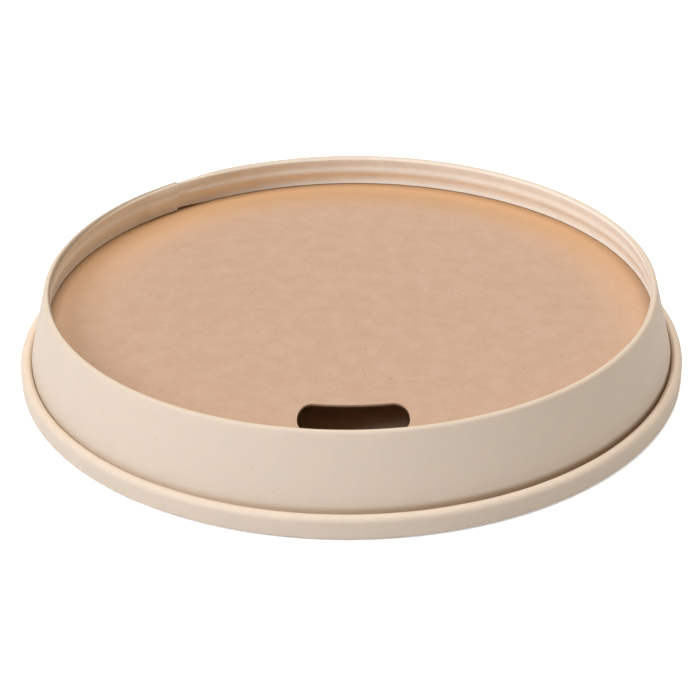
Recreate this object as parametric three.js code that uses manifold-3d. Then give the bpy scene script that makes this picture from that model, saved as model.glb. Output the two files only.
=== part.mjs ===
// A takeaway coffee cup lid made of card. Millimetres, +Z up.
// The origin is the centre of the circle that the lid stands on. The sip hole faces -Y.
//
// The lid is two pieces of card, glued together. The side wall is one strip, bent into a
// tapered ring with its ends lapped. Its lower edge is rolled outwards into a bead, and its
// upper edge is folded in and down. The top disc is a card plate with its edge turned up,
// held between the two plies of the folded wall. The sip hole is punched in the disc.

import * as THREE from "three";
import { mergeVertices } from "three/addons/utils/BufferGeometryUtils.js";
import Module from "manifold-3d";

const wasm = await Module();
wasm.setup();

// Outside of the lid
const HEIGHT = 13.25;
const BEAD_RADIUS = 47; // to the outside of the rolled bead
const MOUTH_RADIUS = 45.35; // to the outside of the wall, where it comes out of the bead
const TOP_RADIUS = 42.85; // to the outside of the wall, carried up to its top

// Card and glue
const WALL_CARD = 0.32;
const DISC_CARD = 0.3;
const GLUE_LINE = 0.03; // between two plies

// Rolled bead, with its bends measured on the middle of the card
const BEAD_HEIGHT = 3.3;
const BEAD_TOP_BEND = 0.62;
const BEAD_FOOT_BEND = 0.5;
const CURL_TURN = 200; // degrees that the top of the bead turns through

// Folded ply, seen in the recess
const RAW_EDGE_LIFT = 0.45; // from the disc up to the ply's cut edge
const RIB_DROP = 2.7; // from the lid's top down to the pressed rib
const RIB_WIDTH = 2.2;
const RIB_SWELL = 0.16;
const LIP_WIDTH = 0.8; // the flare along the cut edge
const LIP_SWELL = 0.12;

// Top disc
const RECESS_DEPTH = 5.15; // from the lid's top down to the disc
const FLANGE_BEND = 0.45; // on the middle of the card
const FLANGE_HEAD_GAP = 0.5; // from the flange's cut edge up to the inside of the fold

// Sip hole, between two arcs round the lid's centre
const SIP_INNER_RADIUS = 28.4;
const SIP_DEPTH = 6.4; // from the inner arc out to the outer one
const SIP_WIDTH = 14.2; // along the arc midway between the two
const SIP_INNER_CORNER = 2.6;
const SIP_OUTER_CORNER = 2.2;

// Lapped ends of the strip, by their angles from +X
const SEAM_EDGE = 129.5; // where the upper end is cut
const SEAM_LAP = 7;
const SEAM_STEP = 0.2; // how far the pressed lap stands out

// Fineness of the facets
const RING_SEGMENTS = 72;
const BEND_STEP = THREE.MathUtils.degToRad(34);
const RIB_STEPS = 4;
const SIP_ARC_STEPS = 8;
const SIP_CORNER_STEPS = 5;

const COLOURS = { wall: 0xe6d5c2, disc: 0xcfac8e };

const taper = Math.atan2(MOUTH_RADIUS - TOP_RADIUS, HEIGHT - BEAD_HEIGHT);
const discTop = HEIGHT - RECESS_DEPTH;
const plyPitch = WALL_CARD + DISC_CARD + 2 * GLUE_LINE; // from the wall's middle to the folded ply's
const foldBend = plyPitch / 2;

const point = (r, z) => new THREE.Vector2(r, z);

// A point beside the wall, given by its depth below the lid's top and its distance
// inwards from the wall's outer face.
function besideWall(drop, inwards) {
  return point(TOP_RADIUS + drop * Math.tan(taper) - inwards / Math.cos(taper), HEIGHT - drop);
}

// Points of an arc round a centre, between two angles in radians.
function arc(centre, radius, from, to, step = BEND_STEP) {
  const count = Math.ceil(Math.abs(to - from) / step);
  return Array.from({ length: count + 1 }, (_, i) => {
    const angle = from + ((to - from) * i) / count;
    return point(centre.x + radius * Math.cos(angle), centre.y + radius * Math.sin(angle));
  });
}

// One face of a card, at some distance to the left of the line on its middle. The distance
// is a number, or one number for each point. Corners are mitred.
function faceOf(line, distance) {
  return line.map((here, i) => {
    const arriving = here.clone().sub(line[Math.max(i - 1, 0)]);
    const leaving = line[Math.min(i + 1, line.length - 1)].clone().sub(here);
    if (i === 0) arriving.copy(leaving);
    if (i === line.length - 1) leaving.copy(arriving);
    arriving.normalize();
    const along = arriving.clone().add(leaving.normalize()).normalize();
    const reach = (Array.isArray(distance) ? distance[i] : distance) / along.dot(arriving);
    return point(here.x - along.y * reach, here.y + along.x * reach);
  });
}

function toSolid(geometry) {
  const bare = geometry.clone();
  bare.deleteAttribute("normal");
  bare.deleteAttribute("uv");
  const merged = mergeVertices(bare);
  const vertProperties = merged.attributes.position.array;
  const triVerts = new Uint32Array(merged.index.array);
  return new wasm.Manifold(new wasm.Mesh({ numProp: 3, vertProperties, triVerts }));
}

function toGeometry(solid) {
  const { vertProperties, triVerts } = solid.getMesh();
  const geometry = new THREE.BufferGeometry();
  geometry.setAttribute("position", new THREE.BufferAttribute(vertProperties, 3));
  geometry.setIndex(new THREE.BufferAttribute(triVerts, 1));
  geometry.computeVertexNormals();
  return geometry;
}

// A section turned round the lid's axis. LatheGeometry turns it round Y, so it is stood up.
function turned(outline) {
  return toSolid(new THREE.LatheGeometry(outline, RING_SEGMENTS).rotateX(Math.PI / 2));
}

// An upright wedge from the lid's axis, between two angles in degrees from +X.
function wedge(from, to) {
  const corner = (degrees) => {
    const angle = THREE.MathUtils.degToRad(degrees);
    return point(Math.cos(angle), Math.sin(angle)).multiplyScalar(2 * BEAD_RADIUS);
  };
  const shape = new THREE.Shape([point(0, 0), corner(from), corner(to)]);
  return toSolid(new THREE.ExtrudeGeometry(shape, { depth: 2 * HEIGHT, bevelEnabled: false }));
}

// The middle of the wall's card in section, from the end inside the bead, round the bead,
// up the wall, over the fold and down to the cut edge in the recess.
function beadLine() {
  const half = WALL_CARD / 2;
  const outside = BEAD_RADIUS - half;
  const inside = MOUTH_RADIUS - half;
  const curlCentre = point(outside - BEAD_TOP_BEND, BEAD_HEIGHT - half - BEAD_TOP_BEND);
  const footHeight = half + BEAD_FOOT_BEND;
  return [
    ...arc(curlCentre, BEAD_TOP_BEND, THREE.MathUtils.degToRad(CURL_TURN), 0),
    ...arc(point(outside - BEAD_FOOT_BEND, footHeight), BEAD_FOOT_BEND, 0, -Math.PI / 2),
    ...arc(point(inside + BEAD_FOOT_BEND, footHeight), BEAD_FOOT_BEND, -Math.PI / 2, -Math.PI),
    point(inside, BEAD_HEIGHT),
  ];
}

function foldLine() {
  const inwards = WALL_CARD / 2 + foldBend;
  const centre = besideWall(inwards, inwards);
  return [
    ...arc(centre, foldBend, taper, Math.PI / 2),
    ...arc(centre, foldBend, Math.PI / 2, Math.PI + taper).slice(1),
  ];
}

function recessLine() {
  const inwards = WALL_CARD / 2 + plyPitch;
  const cutEdge = RECESS_DEPTH - RAW_EDGE_LIFT;
  const line = [];
  for (let i = 0; i <= RIB_STEPS; i++) {
    const share = i / RIB_STEPS;
    const swell = RIB_SWELL * Math.sin(Math.PI * share) ** 2;
    line.push(besideWall(RIB_DROP + RIB_WIDTH * (share - 0.5), inwards + swell));
  }
  line.push(besideWall(cutEdge - LIP_WIDTH, inwards));
  line.push(besideWall(cutEdge, inwards + LIP_SWELL));
  return line;
}

// The lap stands out from the wall's outer face and, past the fold, from the same face of
// the card in the recess. It fades out over the fold and in the crease above the bead.
function sideWall() {
  const bead = beadLine();
  const fold = foldLine();
  const recess = recessLine();
  const line = [...bead, ...fold, ...recess];
  const lap = [...bead.map(() => 0), ...fold.map(() => 0), ...recess.map(() => SEAM_STEP)];
  lap[bead.length] = SEAM_STEP;
  const inner = faceOf(line, WALL_CARD / 2).reverse();
  const closed = (outer) => [...outer, ...inner, outer[0]];
  const ring = turned(closed(faceOf(line, -WALL_CARD / 2)));
  const lapped = turned(closed(faceOf(line, lap.map((step) => -WALL_CARD / 2 - step))));
  return ring.add(lapped.intersect(wedge(SEAM_EDGE, SEAM_EDGE + SEAM_LAP)));
}

// The middle of the disc's card in section, from the lid's axis to the flange's cut edge.
function discLine() {
  const height = discTop - DISC_CARD / 2;
  const inwards = WALL_CARD + GLUE_LINE + DISC_CARD / 2;
  const centre = besideWall(HEIGHT - height - FLANGE_BEND, inwards + FLANGE_BEND);
  return [
    point(0, height),
    ...arc(centre, FLANGE_BEND, -Math.PI / 2, taper),
    besideWall(WALL_CARD + FLANGE_HEAD_GAP, inwards),
  ];
}

// The sip hole's outline: a rectangle with rounded corners, bent round the lid's centre.
// Its corners are laid out straight, with x along the arc and y as the radius.
function sipOutline() {
  const middle = SIP_INNER_RADIUS + SIP_DEPTH / 2;
  const quarter = Math.PI / 2;
  const corner = (side, end, size, from) => {
    const round = Math.min(size, SIP_DEPTH / 2, SIP_WIDTH / 2);
    const centre = point(side * (SIP_WIDTH / 2 - round), middle + end * (SIP_DEPTH / 2 - round));
    return arc(centre, round, from, from + quarter, quarter / SIP_CORNER_STEPS);
  };
  const outerLeft = corner(-1, 1, SIP_OUTER_CORNER, quarter);
  const innerLeft = corner(-1, -1, SIP_INNER_CORNER, 2 * quarter);
  const innerRight = corner(1, -1, SIP_INNER_CORNER, 3 * quarter);
  const outerRight = corner(1, 1, SIP_OUTER_CORNER, 0);
  const between = (from, to) => {
    const steps = Array.from({ length: SIP_ARC_STEPS - 1 }, (_, i) => (i + 1) / SIP_ARC_STEPS);
    return steps.map((share) => from.clone().lerp(to, share));
  };
  const straight = [
    ...outerLeft,
    ...innerLeft,
    ...between(innerLeft.at(-1), innerRight[0]),
    ...innerRight,
    ...outerRight,
    ...between(outerRight.at(-1), outerLeft[0]),
  ];
  return straight.map((p) => {
    const angle = p.x / middle;
    return point(p.y * Math.sin(angle), -p.y * Math.cos(angle));
  });
}

function topDisc() {
  const line = discLine();
  const upper = faceOf(line, DISC_CARD / 2);
  const lower = faceOf(line, -DISC_CARD / 2);
  const plate = turned([...lower, ...upper.reverse()]);
  const hole = new THREE.ExtrudeGeometry(new THREE.Shape(sipOutline()), {
    depth: 2 * HEIGHT,
    bevelEnabled: false,
  });
  return plate.subtract(toSolid(hole));
}

function piece(name, solid, color) {
  const material = new THREE.MeshStandardMaterial({ color, roughness: 0.9, metalness: 0 });
  const mesh = new THREE.Mesh(toGeometry(solid), material);
  mesh.name = name;
  return mesh;
}

const lid = new THREE.Group();
lid.name = "coffee_cup_lid";
lid.add(piece("side_wall", sideWall(), COLOURS.wall));
lid.add(piece("top_disc", topDisc(), COLOURS.disc));

export default lid;
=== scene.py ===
import math

import bpy
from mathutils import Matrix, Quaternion, Vector


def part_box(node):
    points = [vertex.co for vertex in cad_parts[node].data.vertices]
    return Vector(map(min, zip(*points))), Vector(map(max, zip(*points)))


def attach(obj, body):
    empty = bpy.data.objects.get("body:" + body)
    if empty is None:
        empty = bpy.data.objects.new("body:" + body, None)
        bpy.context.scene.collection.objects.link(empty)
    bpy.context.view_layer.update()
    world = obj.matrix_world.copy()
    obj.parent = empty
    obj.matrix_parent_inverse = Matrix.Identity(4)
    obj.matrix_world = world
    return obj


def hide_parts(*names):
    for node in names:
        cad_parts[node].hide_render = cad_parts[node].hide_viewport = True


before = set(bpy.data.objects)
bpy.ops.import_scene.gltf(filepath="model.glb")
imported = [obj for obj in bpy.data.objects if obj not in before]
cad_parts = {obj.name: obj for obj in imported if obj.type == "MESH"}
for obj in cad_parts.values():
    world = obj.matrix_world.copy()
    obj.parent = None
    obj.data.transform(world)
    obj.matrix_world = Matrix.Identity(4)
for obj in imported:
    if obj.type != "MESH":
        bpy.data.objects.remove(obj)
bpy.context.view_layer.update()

MM = 0.001

# Camera
# It stands in front of the lid and looks down on it, from about a quarter of a metre away,
# and is turned a little about its own line of sight.
CAMERA_LENS = 95.63  # millimetres, on a sensor of 36
CAMERA_DISTANCE = 265 * MM
CAMERA_HEIGHT_ANGLE = math.radians(27.72)
CAMERA_ROLL = math.radians(-0.591)
CAMERA_CENTRE = Vector((0, 0, 7.5 * MM))
CAMERA_AIM = Vector((-0.05 * MM, 0, 0.75 * MM))

away = Vector((0, -math.cos(CAMERA_HEIGHT_ANGLE), math.sin(CAMERA_HEIGHT_ANGLE)))
bpy.ops.object.camera_add(location=CAMERA_CENTRE + away * CAMERA_DISTANCE)
camera = bpy.context.object
camera.data.lens = CAMERA_LENS
camera.data.clip_start = 10 * MM
camera.data.clip_end = 20
camera.rotation_mode = "QUATERNION"
looking = (CAMERA_AIM - camera.location).to_track_quat("-Z", "Y")
camera.rotation_quaternion = looking @ Quaternion((0, 0, 1), CAMERA_ROLL)
bpy.context.scene.camera = camera
bpy.context.scene.view_settings.view_transform = "Standard"

# Light and floor
# Large soft lamps stand at the front left, overhead, behind and at the right, and the room
# gives the rest of the light. The floor is white paper, and keeps only a faint shadow; under
# the lid it is painted brown, a painted bounce of the light the card throws down on it.
LAMP_SIZE = 0.55
KEY_PLACE = Vector((-0.62, -0.42, 0.62))
KEY_POWER = 7.5
KEY_COLOUR = (0.97, 1.03, 1.14)
TOP_PLACE = Vector((0, -0.05, 1))
TOP_POWER = 9.4
TOP_COLOUR = (1.0, 0.97, 0.92)
BACK_PLACE = Vector((0.1, 0.75, 0.65))
BACK_POWER = 2.8
FILL_PLACE = Vector((0.9, 0.3, 0.3))
FILL_POWER = 1.3
ROOM_LIGHT = 0.1
ROOM_COLOUR = (1.0, 0.96, 0.9, 1)
FLOOR_SIZE = 3
FLOOR_GLOW = 0.45
FLOOR_COLOUR = (0.9, 0.9, 0.9, 1)
FLOOR_UNDER_LID_PAINTED_BOUNCE = (0.95, 0.73, 0.53, 1)  # seen through the sip hole: painted bounce light from the card
SHUT_IN = 46 * MM  # under the lid, out to here, the floor has no glow of its own
SHUT_IN_FADE = 1 * MM
FLOOR_DROP = 0.02 * MM  # keeps the floor clear of the bead

for place, power, colour in (
    (KEY_PLACE, KEY_POWER, KEY_COLOUR),
    (TOP_PLACE, TOP_POWER, TOP_COLOUR),
    (BACK_PLACE, BACK_POWER, TOP_COLOUR),
    (FILL_PLACE, FILL_POWER, TOP_COLOUR),
):
    bpy.ops.object.light_add(type="AREA", location=place)
    lamp = bpy.context.object
    lamp.data.shape = "DISK"
    lamp.data.size = LAMP_SIZE
    lamp.data.energy = power
    lamp.data.color = colour
    lamp.rotation_euler = (-place).to_track_quat("-Z", "Y").to_euler()

world = bpy.data.worlds.new("room")
bpy.context.scene.world = world
world.use_nodes = True
tree = world.node_tree
tree.nodes.clear()
seen = tree.nodes.new("ShaderNodeLightPath")
backdrop = tree.nodes.new("ShaderNodeMath")
backdrop.operation = "MAXIMUM"
tree.links.new(seen.outputs["Is Camera Ray"], backdrop.inputs[0])
tree.links.new(seen.outputs["Is Transmission Ray"], backdrop.inputs[1])
room = tree.nodes.new("ShaderNodeBackground")
room.inputs["Color"].default_value = ROOM_COLOUR
room.inputs["Strength"].default_value = ROOM_LIGHT
white = tree.nodes.new("ShaderNodeBackground")
white.inputs["Color"].default_value = (1, 1, 1, 1)
white.inputs["Strength"].default_value = 1
chosen = tree.nodes.new("ShaderNodeMixShader")
tree.links.new(backdrop.outputs[0], chosen.inputs[0])
tree.links.new(room.outputs[0], chosen.inputs[1])
tree.links.new(white.outputs[0], chosen.inputs[2])
out = tree.nodes.new("ShaderNodeOutputWorld")
tree.links.new(chosen.outputs[0], out.inputs["Surface"])

bpy.ops.object.select_all(action="DESELECT")
bpy.ops.mesh.primitive_circle_add(vertices=64, radius=FLOOR_SIZE / 2, fill_type="NGON")
floor = bpy.context.object
floor.name = "floor"
floor.location.z = -FLOOR_DROP
white_paper = bpy.data.materials.new("white_floor_and_painted_bounce")
white_paper.use_nodes = True
tree = white_paper.node_tree
shader = tree.nodes["Principled BSDF"]
shader.inputs["Roughness"].default_value = 1
shader.inputs["Specular IOR Level"].default_value = 0
shader.inputs["Emission Color"].default_value = (FLOOR_GLOW, FLOOR_GLOW, FLOOR_GLOW, 1)
seen = tree.nodes.new("ShaderNodeLightPath")
place = tree.nodes.new("ShaderNodeTexCoord")
from_axis = tree.nodes.new("ShaderNodeVectorMath")
from_axis.operation = "LENGTH"
tree.links.new(place.outputs["Object"], from_axis.inputs[0])
open_floor = tree.nodes.new("ShaderNodeMapRange")
open_floor.inputs["From Min"].default_value = SHUT_IN - SHUT_IN_FADE
open_floor.inputs["From Max"].default_value = SHUT_IN
tree.links.new(from_axis.outputs["Value"], open_floor.inputs["Value"])
# Painted bounce: under the lid the floor is painted brown for the light the card throws down on it.
floor_colour_and_painted_bounce = tree.nodes.new("ShaderNodeMix")
floor_colour_and_painted_bounce.data_type = "RGBA"
floor_colour_and_painted_bounce.inputs[6].default_value = FLOOR_UNDER_LID_PAINTED_BOUNCE
floor_colour_and_painted_bounce.inputs[7].default_value = FLOOR_COLOUR
tree.links.new(open_floor.outputs[0], floor_colour_and_painted_bounce.inputs[0])
tree.links.new(floor_colour_and_painted_bounce.outputs[2], shader.inputs["Base Color"])
glow = tree.nodes.new("ShaderNodeMath")
glow.operation = "MULTIPLY"
tree.links.new(seen.outputs["Is Camera Ray"], glow.inputs[0])
tree.links.new(open_floor.outputs[0], glow.inputs[1])
tree.links.new(glow.outputs[0], shader.inputs["Emission Strength"])
floor.data.materials.append(white_paper)

# Side wall
# One strip of pale paper, wound into a tapered ring with its two ends lapped and glued. Its
# lower edge is rolled out into a bead, and its upper edge is folded in over the disc's
# turned-up rim, so that its cut edge lies just above the disc.
wall_low, wall_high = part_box("side_wall")
BEAD_RADIUS = wall_high.x
HEIGHT = wall_high.z
MOUTH_RADIUS = 45.35 * MM
TOP_RADIUS = 42.85 * MM
PAPER = 0.32 * MM
DISC_CARD = 0.3 * MM
GLUE = 0.03 * MM
BEAD_HEIGHT = 3.3 * MM
BEAD_TOP_BEND = 0.655 * MM
BEAD_FOOT_BEND = 0.5 * MM
CURL_TURN = math.radians(200)
RECESS_DEPTH = 5.15 * MM
RAW_EDGE_LIFT = 0.08 * MM
RIB_DROP = 2.7 * MM
RIB_WIDTH = 2.2 * MM
RIB_SWELL = 0.24 * MM
LIP_WIDTH = 0.9 * MM
LIP_SWELL = 0.32 * MM
SEAM_EDGE = math.radians(129.5)
SEAM_LAP = math.radians(7)
SEAM_RAMP = math.radians(3)  # where the upper end climbs on to the under one
FOLD_RAMP = math.radians(12)  # where the under end comes up again to the lid's top
PRESSED_SHARE = 0.75  # of its thickness, where one end lies on the other
SEAM_GLUE_SHARE = 0.03  # of the paper's thickness
SEAM_CLIMB = (PRESSED_SHARE + SEAM_GLUE_SHARE) * PAPER
CLIMB_FADES_FROM = 1.2 * MM  # below the lid's top
CLIMB_GONE_AT = 0.5 * MM
SKEW_RISE = 0.35 * MM  # of the under end's rib and cut edge, beside the seam
SKEW_REACH = math.radians(8)
SKEW_FROM = 0.8 * MM  # below the lid's top
WAVER = 0.08 * MM
WAVER_SIZE = 9 * MM
FOOT_HELD = 1 * MM  # the waver sets in above this height, over as much again
CUT_EDGE_ROUND = 0.04 * MM
COLUMNS_PER_TURN = 360
CURL_STEPS = 14
BEND_STEPS = 6
WALL_STEPS = 12
FOLD_STEPS = 10
RIB_STEPS = 10
LIP_STEPS = 3
SHIFT = 0.13 * MM
LEAN_AT_TOP = Vector((-0.04, -0.14, 0)) * MM
FLATTENED_AT_TOP = 0.013
FLATTENED_BEHIND = (-10 * MM, 10 * MM)  # along Y, where the flattening sets in
FLATTENED_TWICE = (0, 35 * MM)  # along X, where it grows to twice as much

taper = math.atan2(MOUTH_RADIUS - TOP_RADIUS, HEIGHT - BEAD_HEIGHT)
ply_pitch = PAPER + DISC_CARD + 2 * GLUE
fold_bend = ply_pitch / 2


def beside_wall(drop, inwards):
    """A point of the section, below the lid's top and inside the wall's outer face."""
    x = TOP_RADIUS + drop * math.tan(taper) - inwards / math.cos(taper)
    return Vector((x, 0, HEIGHT - drop))


def start_line(point):
    """A new mesh of one vertex, in edit mode, from which a section is drawn."""
    bpy.ops.object.select_all(action="DESELECT")
    bpy.ops.mesh.primitive_plane_add(size=MM, location=point)
    bpy.ops.object.transform_apply(location=True)
    bpy.ops.object.mode_set(mode="EDIT")
    bpy.ops.mesh.select_all(action="SELECT")
    bpy.ops.mesh.merge(type="CENTER")
    return Vector(point)


def line_to(here, point, steps=1):
    """Draws straight on to a point, in equal steps."""
    for _ in range(steps):
        step = (Vector(point) - Vector(here)) / steps
        bpy.ops.mesh.extrude_region_move(TRANSFORM_OT_translate={"value": step})
    return Vector(point)


def arc_round(here, centre, angle, steps):
    """Draws an arc round a centre, clockwise as seen from the front."""
    bpy.ops.mesh.spin(steps=steps, angle=-angle, center=centre, axis=(0, 1, 0))
    return centre + Quaternion((0, 1, 0), angle) @ (Vector(here) - centre)


half = PAPER / 2
outside = BEAD_RADIUS - half
inside = MOUTH_RADIUS - half
curl = Vector((outside - BEAD_TOP_BEND, 0, BEAD_HEIGHT - half - BEAD_TOP_BEND))
foot_height = half + BEAD_FOOT_BEND
tip = Quaternion((0, 1, 0), -CURL_TURN) @ Vector((BEAD_TOP_BEND, 0, 0))
here = start_line(curl + tip)
here = arc_round(here, curl, CURL_TURN, CURL_STEPS)
here = line_to(here, (outside, 0, foot_height), steps=3)
outer_foot = Vector((outside - BEAD_FOOT_BEND, 0, foot_height))
here = arc_round(here, outer_foot, math.pi / 2, BEND_STEPS)
here = line_to(here, (inside + BEAD_FOOT_BEND, 0, half), steps=2)
inner_foot = Vector((inside + BEAD_FOOT_BEND, 0, foot_height))
here = arc_round(here, inner_foot, math.pi / 2, BEND_STEPS)
here = line_to(here, (inside, 0, BEAD_HEIGHT), steps=4)
fold = beside_wall(half + fold_bend, half + fold_bend)
fold_foot = fold + Vector((math.cos(taper), 0, math.sin(taper))) * fold_bend
here = line_to(here, fold_foot, WALL_STEPS)
here = arc_round(here, fold, -math.pi, FOLD_STEPS)
recess_face = half + ply_pitch
here = line_to(here, beside_wall(RIB_DROP - RIB_WIDTH / 2, recess_face), steps=2)
for i in range(1, RIB_STEPS + 1):
    swell = RIB_SWELL * math.sin(math.pi * i / RIB_STEPS) ** 2
    drop = RIB_DROP + RIB_WIDTH * (i / RIB_STEPS - 0.5)
    here = line_to(here, beside_wall(drop, recess_face + swell))
cut_edge = RECESS_DEPTH - RAW_EDGE_LIFT
here = line_to(here, beside_wall(cut_edge - LIP_WIDTH, recess_face))
for i in range(1, LIP_STEPS + 1):
    swell = LIP_SWELL * (i / LIP_STEPS) ** 2
    drop = cut_edge - LIP_WIDTH * (1 - i / LIP_STEPS)
    here = line_to(here, beside_wall(drop, recess_face + swell))

bpy.ops.mesh.select_all(action="SELECT")
column = 2 * math.pi / COLUMNS_PER_TURN
round_about = {"center": (0, 0, 0), "axis": (0, 0, 1)}
before_climb = 2 * math.pi - SEAM_RAMP
bpy.ops.mesh.spin(steps=round(before_climb / column), angle=before_climb, **round_about)
bpy.ops.object.mode_set(mode="OBJECT")
wall = bpy.context.object
wall.name = "paper_side_wall"
upper_end = len(wall.data.vertices)
bpy.ops.object.mode_set(mode="EDIT")
to_the_end = SEAM_RAMP + SEAM_LAP
bpy.ops.mesh.spin(steps=round(to_the_end / column), angle=to_the_end, **round_about)
bpy.ops.object.mode_set(mode="OBJECT")
wall.rotation_euler.z = SEAM_EDGE + SEAM_LAP
bpy.ops.object.transform_apply(rotation=True)


def ramp(value, low, high):
    """From 0 to 1 as the value goes from low to high, with soft ends."""
    share = min(1, max(0, (value - low) / (high - low)))
    return share * share * (3 - 2 * share)


def inwards(point):
    """How far a point lies inside the wall's outer face."""
    drop = HEIGHT - point.z
    return (TOP_RADIUS + drop * math.tan(taper) - math.hypot(point.x, point.y)) * math.cos(taper)


# The upper end climbs over the under one. Over the fold the under end is pressed in instead,
# so that the lid's top stays level.
not_pressed = wall.vertex_groups.new(name="not_pressed")
free = wall.vertex_groups.new(name="free")
places = []
for vertex in wall.data.vertices:
    spot = vertex.co
    azimuth = math.atan2(spot.y, spot.x)
    before_lap_end = azimuth < SEAM_EDGE + SEAM_LAP + column
    climbs = 1 - ramp(spot.z, HEIGHT - CLIMB_FADES_FROM, HEIGHT - CLIMB_GONE_AT)
    if vertex.index >= upper_end:
        push = climbs * ramp(-azimuth, -SEAM_EDGE - SEAM_LAP - SEAM_RAMP, -SEAM_EDGE - SEAM_LAP)
    else:
        in_seam = ramp(azimuth, SEAM_EDGE - FOLD_RAMP, SEAM_EDGE) * before_lap_end
        push = (climbs - 1) * in_seam
    moved = spot + vertex.normal * push * SEAM_CLIMB
    in_recess = inwards(spot) > half + 1.5 * fold_bend
    if vertex.index < upper_end and in_recess:
        beside = ramp(azimuth, SEAM_EDGE - SKEW_REACH, SEAM_EDGE) * before_lap_end
        rise = SKEW_RISE * beside * ramp(HEIGHT - spot.z, SKEW_FROM, RIB_DROP)
        moved.z += rise
        moved -= Vector((spot.x, spot.y, 0)).normalized() * rise * math.tan(taper)
    places.append(moved)
    in_lap = SEAM_EDGE - column < azimuth and before_lap_end
    not_pressed.add([vertex.index], 0 if in_lap else 1, "REPLACE")
    free.add([vertex.index], min(1, max(0, (spot.z - FOOT_HELD) / FOOT_HELD)), "REPLACE")
for vertex, moved in zip(wall.data.vertices, places):
    vertex.co = moved

unevenness = bpy.data.textures.new("unevenness", "CLOUDS")
unevenness.noise_scale = WAVER_SIZE
waver = wall.modifiers.new("waver", "DISPLACE")
waver.texture = unevenness
waver.texture_coords = "LOCAL"
waver.strength = WAVER
waver.vertex_group = "free"
thickness = wall.modifiers.new("thickness", "SOLIDIFY")
thickness.thickness = PAPER
thickness.offset = 0
thickness.use_even_offset = True
thickness.vertex_group = "not_pressed"
thickness.thickness_vertex_group = PRESSED_SHARE
edges = wall.modifiers.new("edges", "BEVEL")
edges.width = CUT_EDGE_ROUND
edges.segments = 2
edges.angle_limit = math.radians(60)
for modifier in ("waver", "thickness", "edges"):
    bpy.ops.object.modifier_apply(modifier=modifier)


def settle(piece):
    """Card gives a little: the lid's top leans forwards and is flattened at the back.

    The whole lid also lies a little to the right of where it was measured."""
    for vertex in piece.data.vertices:
        share = vertex.co.z / HEIGHT
        behind = ramp(vertex.co.y, *FLATTENED_BEHIND) * (1 + ramp(vertex.co.x, *FLATTENED_TWICE))
        vertex.co.y *= 1 - FLATTENED_AT_TOP * share * behind
        vertex.co.x += SHIFT
        vertex.co += LEAN_AT_TOP * share


settle(wall)
bpy.ops.object.shade_smooth_by_angle(angle=math.radians(40))


def add(tree, kind, inputs, **settings):
    """A shader node, with its sockets linked or set, and its own settings."""
    node = tree.nodes.new("ShaderNode" + kind)
    for name, value in settings.items():
        setattr(node, name, value)
    for socket, value in inputs.items():
        if isinstance(value, bpy.types.NodeSocket):
            tree.links.new(value, node.inputs[socket])
        else:
            node.inputs[socket].default_value = value
    return node


def paint(red, green, blue):
    """A colour as it looks on a screen, from 0 to 255, as the linear colour that a shader takes."""
    return [((c / 255 + 0.055) / 1.055) ** 2.4 for c in (red, green, blue)] + [1]


def spread(tree, value, low, high, at_low=0, at_high=1, kind="LINEAR"):
    """Spreads what lies between two limits from one number to another."""
    inputs = {0: value, 1: low, 2: high, 3: at_low, 4: at_high}
    return add(tree, "MapRange", inputs, interpolation_type=kind).outputs[0]


def paper_pulp():
    """What all card shows close up: clouds of pulp, fibres and dark flecks."""
    group = bpy.data.node_groups.new("paper_pulp", "ShaderNodeTree")
    group.interface.new_socket("Size", in_out="INPUT", socket_type="NodeSocketFloat")
    for name in ("Cloud", "Fibre", "Fleck", "Grain"):
        group.interface.new_socket(name, in_out="OUTPUT", socket_type="NodeSocketFloat")
    given = group.nodes.new("NodeGroupInput")
    place = add(group, "TexCoord", {}).outputs["Object"]
    scaled = add(group, "VectorMath", {0: place, "Scale": given.outputs[0]}, operation="SCALE")
    at = scaled.outputs[0]
    cloud = add(group, "TexNoise", {"Vector": at, "Scale": 0.45, "Detail": 3, "Roughness": 0.6})
    grain = add(group, "TexNoise", {"Vector": at, "Scale": 5, "Detail": 3, "Roughness": 0.7})
    strand = add(group, "TexNoise", {"Vector": at, "Scale": 1.6, "Detail": 1.5, "Distortion": 2.4})
    off_middle = add(group, "Math", {0: strand.outputs[0], 1: 0.5}, operation="SUBTRACT")
    from_middle = add(group, "Math", {0: off_middle.outputs[0]}, operation="ABSOLUTE")
    fibre = spread(group, from_middle.outputs[0], 0, 0.022, at_low=1, at_high=0)
    spots = add(group, "TexVoronoi", {"Vector": at, "Scale": 0.42, "Randomness": 1})
    speck = spread(group, spots.outputs["Distance"], 0.05, 0.09, at_low=1, at_high=0)
    chance = add(group, "SeparateColor", {0: spots.outputs["Color"]})
    kept = add(group, "Math", {0: chance.outputs[0], 1: 0.72}, operation="GREATER_THAN")
    fleck = add(group, "Math", {0: speck, 1: kept.outputs[0]}, operation="MULTIPLY")
    result = group.nodes.new("NodeGroupOutput")
    group.links.new(cloud.outputs[0], result.inputs["Cloud"])
    group.links.new(fibre, result.inputs["Fibre"])
    group.links.new(fleck.outputs[0], result.inputs["Fleck"])
    group.links.new(grain.outputs[0], result.inputs["Grain"])
    return group


PULP = paper_pulp()


def tint(tree, colour, towards, share):
    """The colour, mixed towards another by a mask."""
    mixed = add(tree, "Mix", {"Factor": share}, data_type="RGBA")
    for socket, value in ((6, colour), (7, towards)):
        if isinstance(value, bpy.types.NodeSocket):
            tree.links.new(value, mixed.inputs[socket])
        else:
            mixed.inputs[socket].default_value = value
    return mixed.outputs[2]


def times(tree, value, factor):
    """The two values multiplied."""
    return add(tree, "Math", {0: value, 1: factor}, operation="MULTIPLY").outputs[0]


def window(tree, value, low, high, soft):
    """A mask that is one between two limits and fades outside them."""
    rise = spread(tree, value, low - soft, low, kind="SMOOTHSTEP")
    fall = spread(tree, value, high, high + soft, at_low=1, at_high=0, kind="SMOOTHSTEP")
    return times(tree, rise, fall)


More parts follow.
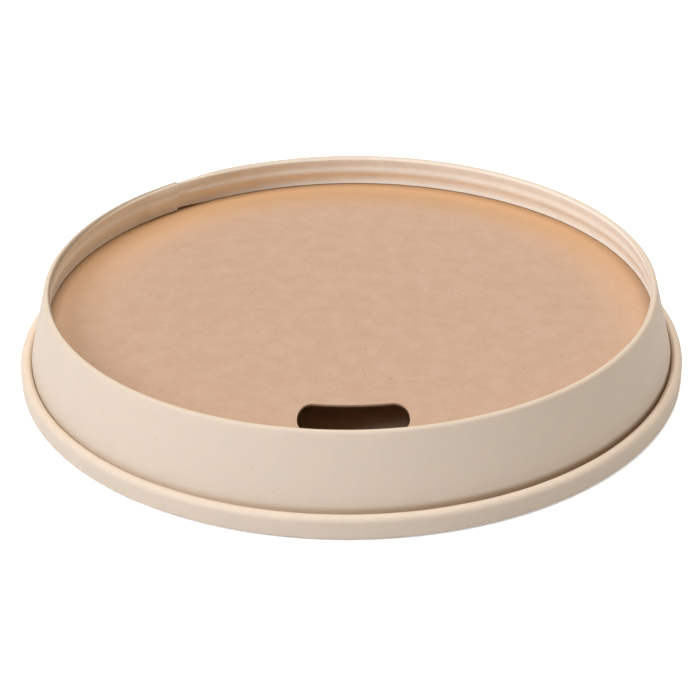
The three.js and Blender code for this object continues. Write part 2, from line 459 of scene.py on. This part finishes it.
OUTER_CREAM = (0.508, 0.42, 0.338, 1)
# Painted light: the recess is the same paper as the outer wall, painted lighter for the light that
# falls in there.
RECESS_PAINTED_LIGHT = (0.98, 0.9, 0.77, 1)
RECESS_PAINTED_LIGHT_EDGE = (-0.4 * MM, -0.2 * MM)  # from the fold's middle, where the outer cream takes over
# Painted shade: the fold's top is painted darker, to tone down the highlight the lamps give it.
FOLD_TOP_PAINTED_SHADE = (0.47, 0.385, 0.3, 1)
FOLD_TOP_SHADE_BAND = (-0.4 * MM, -0.05 * MM)  # from the lid's top
FOLD_SHADE = (0.2, 0.13, 0.08, 1)
FOLD_SHADE_SHARE = 0.85
FOLD_SHADE_LINE = (-0.6 * MM, -0.22 * MM)  # from the fold's middle
FOLD_SHADE_SOFT = 0.1 * MM
FOLD_SHADE_RISE = (-0.8 * MM, -0.4 * MM)  # from the lid's top
FOLD_SHADE_LEFT = -38 * MM  # along X, where it has its full share
# Painted shade and a painted warm glow for the crease between the bead and the wall.
CREASE_PAINTED_GLOW = (0.56, 0.42, 0.28, 1)
CREASE_PAINTED_SHADE = (0.2, 0.1, 0.035, 1)
CREASE_PAINT_SHARE_LEFT = 0.4
CREASE_PAINT_SHARE_RIGHT = 0.85
CREASE_SHADE_DARKENS_FROM = -20 * MM  # along X
CREASE_PAINT_BAND = (-0.6 * MM, 0)  # from the bead's top
CREASE_PAINT_SOFT = 0.8 * MM
CREASE_PAINT_INNER_END = (-0.2 * MM, -0.12 * MM)  # from the mouth's radius
CREASE_PAINT_OUTER_END = (0.2 * MM, 0.9 * MM)
CLOUD_CREAM = paint(212, 190, 166)
CLOUD_SHARE = 0.35
FIBRE_CREAM = paint(190, 168, 142)
FIBRE_SHARE = 0.2
FLECK_BROWN = paint(120, 92, 66)
FLECK_SHARE = 0.15
GRAIN_DEPTH = 0.012 * MM
GRAIN_STRENGTH = 0.6


def either_side(middle, offsets):
    """The two limits that lie at the given distances from a middle."""
    return [middle + offset for offset in offsets]


cream = bpy.data.materials.new("cream_paper")
cream.use_nodes = True
tree = cream.node_tree
shader = tree.nodes["Principled BSDF"]
pulp = add(tree, "Group", {}, node_tree=PULP)
pulp.inputs["Size"].default_value = 1 / MM
place = add(tree, "TexCoord", {}).outputs["Object"]
axes = add(tree, "SeparateXYZ", {0: place}).outputs
flat = add(tree, "CombineXYZ", {0: axes[0], 1: axes[1]}).outputs[0]
radius = add(tree, "VectorMath", {0: flat}, operation="LENGTH").outputs["Value"]

# The radius with the taper taken out tells the two plies of the wall apart.
slope = times(tree, axes[2], math.tan(taper))
upright = add(tree, "Math", {0: radius, 1: slope}, operation="ADD").outputs[0]
fold_middle = TOP_RADIUS + HEIGHT * math.tan(taper) - (half + fold_bend) / math.cos(taper)
# Painted light: the turned-in ply is painted much lighter than the outer wall, though it is the
# same paper.
recess_painted_light = spread(tree, upright, *either_side(fold_middle, RECESS_PAINTED_LIGHT_EDGE), at_low=1, at_high=0)
above_disc = add(tree, "Math", {0: axes[2], 1: HEIGHT - RECESS_DEPTH}, operation="GREATER_THAN")
recess_painted_light = times(tree, recess_painted_light, above_disc.outputs[0])
colour = tint(tree, OUTER_CREAM, RECESS_PAINTED_LIGHT, recess_painted_light)
# Painted shade: the fold's top is painted darker, to tone down the highlight that the lamps
# overhead give it.
fold_top_shade = spread(tree, axes[2], *either_side(HEIGHT, FOLD_TOP_SHADE_BAND))
colour = tint(tree, colour, FOLD_TOP_PAINTED_SHADE, fold_top_shade)
inner_edge = window(tree, upright, *either_side(fold_middle, FOLD_SHADE_LINE), FOLD_SHADE_SOFT)
leftwards = spread(tree, axes[0], 0, FOLD_SHADE_LEFT, at_high=FOLD_SHADE_SHARE)
near_top = spread(tree, axes[2], *either_side(HEIGHT, FOLD_SHADE_RISE))
inner_edge = times(tree, times(tree, inner_edge, leftwards), near_top)
colour = tint(tree, colour, FOLD_SHADE, inner_edge)
colour = tint(tree, colour, CLOUD_CREAM, times(tree, pulp.outputs["Cloud"], CLOUD_SHARE))
colour = tint(tree, colour, FIBRE_CREAM, times(tree, pulp.outputs["Fibre"], FIBRE_SHARE))
colour = tint(tree, colour, FLECK_BROWN, times(tree, pulp.outputs["Fleck"], FLECK_SHARE))

# Painted shade and glow in the crease between the bead and the wall: it is painted a warm
# orange at the left, and a darker brown that is strongest at the right.
crease = window(tree, axes[2], *either_side(BEAD_HEIGHT, CREASE_PAINT_BAND), CREASE_PAINT_SOFT)
outer = spread(tree, radius, *either_side(MOUTH_RADIUS, CREASE_PAINT_INNER_END))
off_bead = spread(tree, radius, *either_side(MOUTH_RADIUS, CREASE_PAINT_OUTER_END), at_low=1, at_high=0)
crease_paint = times(tree, times(tree, crease, outer), off_bead)
rightwards = spread(tree, axes[0], CREASE_SHADE_DARKENS_FROM, MOUTH_RADIUS)
crease_paint_colour = tint(tree, CREASE_PAINTED_GLOW, CREASE_PAINTED_SHADE, rightwards)
crease_paint_share = spread(tree, rightwards, 0, 1, at_low=CREASE_PAINT_SHARE_LEFT, at_high=CREASE_PAINT_SHARE_RIGHT)
colour = tint(tree, colour, crease_paint_colour, times(tree, crease_paint, crease_paint_share))
tree.links.new(colour, shader.inputs["Base Color"])
shader.inputs["Roughness"].default_value = 0.62
shader.inputs["Specular IOR Level"].default_value = 0.35
relief = add(tree, "Math", {0: pulp.outputs["Grain"], 1: pulp.outputs["Fibre"]}, operation="ADD")
bump = add(
    tree, "Bump", {"Height": relief.outputs[0], "Distance": GRAIN_DEPTH, "Strength": GRAIN_STRENGTH}
)
tree.links.new(bump.outputs[0], shader.inputs["Normal"])
wall.data.materials.clear()
wall.data.materials.append(cream)
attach(wall, "root")
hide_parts("side_wall")

# Top disc
# A round plate of brown kraft card. Its edge is turned up and glued between the two plies of
# the wall, and the sip hole is punched through it near the front.
FLANGE_BEND = 0.45 * MM
FLANGE_HEAD_GAP = 0.8 * MM
SIP_INNER_RADIUS = 27.85 * MM
SIP_DEPTH = 7.05 * MM
SIP_WIDTH = 14.45 * MM
SIP_CENTRE_X = 0.2 * MM
SIP_INNER_CORNER = 2.1 * MM  # along the hole: across it, the corners are stretched
SIP_OUTER_CORNER = 1.3 * MM
SIP_CORNER_STRETCH = 2
SIP_CORNER_STEPS = 10
SIP_SIDE_CUTS = 12
PUNCH_REACH = 2 * MM  # above and below the middle of the card
PUNCHED_EDGE_ROUND = 0.03 * MM
SAME_PLACE = 0.005 * MM
SAME_SIDE = 0.01 * MM
FLANGE_BEND_STEPS = 8
DISC_COLUMNS = 288

disc_middle = HEIGHT - RECESS_DEPTH - DISC_CARD / 2
flange_face = PAPER + GLUE + DISC_CARD / 2
bend = beside_wall(HEIGHT - disc_middle - FLANGE_BEND, flange_face + FLANGE_BEND)
here = start_line((0, 0, disc_middle))
here = line_to(here, (bend.x, 0, disc_middle), steps=16)
here = arc_round(here, bend, -(math.pi / 2 + taper), FLANGE_BEND_STEPS)
here = line_to(here, beside_wall(PAPER + FLANGE_HEAD_GAP, flange_face), steps=3)
bpy.ops.mesh.select_all(action="SELECT")
bpy.ops.mesh.spin(steps=DISC_COLUMNS, angle=2 * math.pi, **round_about)
bpy.ops.mesh.select_all(action="SELECT")
bpy.ops.mesh.remove_doubles(threshold=SAME_PLACE)
bpy.ops.mesh.normals_make_consistent(inside=False)
bpy.ops.object.mode_set(mode="OBJECT")
disc = bpy.context.object
disc.name = "kraft_top_disc"

bpy.ops.object.select_all(action="DESELECT")
bpy.ops.mesh.primitive_plane_add(size=1)
punch = bpy.context.object
punch.name = "punch"
bpy.ops.object.mode_set(mode="EDIT")
bpy.ops.mesh.select_all(action="SELECT")
bpy.ops.transform.resize(value=(SIP_WIDTH, SIP_DEPTH / SIP_CORNER_STRETCH, 1))
bpy.ops.mesh.select_mode(type="VERT")
for side, corner in ((1, SIP_INNER_CORNER), (-1, SIP_OUTER_CORNER)):
    bpy.ops.mesh.select_all(action="DESELECT")
    bpy.ops.object.mode_set(mode="OBJECT")
    for vertex in punch.data.vertices:
        vertex.select = vertex.co.y * side > SIP_DEPTH / (2 * SIP_CORNER_STRETCH) - SAME_SIDE
    bpy.ops.object.mode_set(mode="EDIT")
    bpy.ops.mesh.bevel(affect="VERTICES", offset=corner, segments=SIP_CORNER_STEPS)
bpy.ops.mesh.select_mode(type="EDGE")
bpy.ops.mesh.select_all(action="DESELECT")
bpy.ops.object.mode_set(mode="OBJECT")
for edge in punch.data.edges:
    ends = [punch.data.vertices[i].co for i in edge.vertices]
    edge.select = abs(ends[0].x - ends[1].x) > SIP_WIDTH / 3
bpy.ops.object.mode_set(mode="EDIT")
bpy.ops.mesh.subdivide(number_cuts=SIP_SIDE_CUTS)
bpy.ops.mesh.select_mode(type="VERT")
bpy.ops.object.mode_set(mode="OBJECT")
middle = SIP_INNER_RADIUS + SIP_DEPTH / 2
for vertex in punch.data.vertices:
    across = vertex.co.x + SIP_CENTRE_X
    along = vertex.co.y * SIP_CORNER_STRETCH - math.sqrt(middle**2 - vertex.co.x**2)
    vertex.co = (across, along, disc_middle - PUNCH_REACH)
bpy.ops.object.mode_set(mode="EDIT")
bpy.ops.mesh.select_all(action="SELECT")
bpy.ops.mesh.extrude_region_move(TRANSFORM_OT_translate={"value": (0, 0, 2 * PUNCH_REACH)})
bpy.ops.mesh.select_all(action="SELECT")
bpy.ops.mesh.normals_make_consistent(inside=False)
bpy.ops.object.mode_set(mode="OBJECT")

bpy.ops.object.select_all(action="DESELECT")
disc.select_set(True)
bpy.context.view_layer.objects.active = disc
thickness = disc.modifiers.new("thickness", "SOLIDIFY")
thickness.thickness = DISC_CARD
thickness.offset = 0
bpy.ops.object.modifier_apply(modifier="thickness")
bpy.ops.object.mode_set(mode="EDIT")
bpy.ops.mesh.select_all(action="SELECT")
bpy.ops.mesh.normals_make_consistent(inside=False)
bpy.ops.object.mode_set(mode="OBJECT")
hole = disc.modifiers.new("hole", "BOOLEAN")
hole.object = punch
hole.operation = "DIFFERENCE"
hole.solver = "EXACT"
edges = disc.modifiers.new("edges", "BEVEL")
edges.width = PUNCHED_EDGE_ROUND
edges.segments = 2
edges.angle_limit = math.radians(60)
for modifier in ("hole", "edges"):
    bpy.ops.object.modifier_apply(modifier=modifier)
bpy.data.objects.remove(punch)
settle(disc)
bpy.ops.object.shade_smooth_by_angle(angle=math.radians(30))

KRAFT = (0.463, 0.312, 0.225, 1)
KRAFT_CLOUD = paint(160, 126, 96)
KRAFT_CLOUD_SHARE = 0.8
KRAFT_GRAIN = paint(100, 68, 46)
KRAFT_GRAIN_SHARE = 0.4
KRAFT_FIBRE = paint(205, 172, 142)
KRAFT_FIBRE_SHARE = 0.25
KRAFT_FLECK = paint(110, 78, 52)
KRAFT_FLECK_SHARE = 0.4
# Partly the card's own tint near its edge, partly painted bounce light from the wall.
EDGE_KRAFT_AND_PAINTED_BOUNCE = (0.46, 0.265, 0.13, 1)
EDGE_TINT_FROM = 31 * MM
EDGE_TINT_GROWS = (-12 * MM, 25 * MM)  # along Y, from the front to the back
EDGE_TINT_AT_FRONT = 0.12

kraft = bpy.data.materials.new("brown_kraft")
kraft.use_nodes = True
tree = kraft.node_tree
shader = tree.nodes["Principled BSDF"]
pulp = add(tree, "Group", {}, node_tree=PULP)
pulp.inputs["Size"].default_value = 0.9 / MM
place = add(tree, "TexCoord", {}).outputs["Object"]
axes = add(tree, "SeparateXYZ", {0: place}).outputs
flat = add(tree, "CombineXYZ", {0: axes[0], 1: axes[1]}).outputs[0]
radius = add(tree, "VectorMath", {0: flat}, operation="LENGTH").outputs["Value"]
colour = tint(tree, KRAFT, KRAFT_CLOUD, times(tree, pulp.outputs["Cloud"], KRAFT_CLOUD_SHARE))
colour = tint(tree, colour, KRAFT_GRAIN, times(tree, pulp.outputs["Grain"], KRAFT_GRAIN_SHARE))
colour = tint(tree, colour, KRAFT_FIBRE, times(tree, pulp.outputs["Fibre"], KRAFT_FIBRE_SHARE))
colour = tint(tree, colour, KRAFT_FLECK, times(tree, pulp.outputs["Fleck"], KRAFT_FLECK_SHARE))

# The card is a warmer brown near the wall, and most of all at the back: partly the card's
# own tint, and partly painted bounce light thrown back from the wall.
near_wall = spread(tree, radius, EDGE_TINT_FROM, TOP_RADIUS, kind="SMOOTHSTEP")
backwards = spread(tree, axes[1], *EDGE_TINT_GROWS, at_low=EDGE_TINT_AT_FRONT)
colour = tint(tree, colour, EDGE_KRAFT_AND_PAINTED_BOUNCE, times(tree, near_wall, backwards))
tree.links.new(colour, shader.inputs["Base Color"])
shader.inputs["Roughness"].default_value = 0.6
shader.inputs["Specular IOR Level"].default_value = 0.35
bump = add(
    tree,
    "Bump",
    {"Height": pulp.outputs["Grain"], "Distance": GRAIN_DEPTH, "Strength": GRAIN_STRENGTH},
)
tree.links.new(bump.outputs[0], shader.inputs["Normal"])
disc.data.materials.clear()
disc.data.materials.append(kraft)
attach(disc, "root")
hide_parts("top_disc")
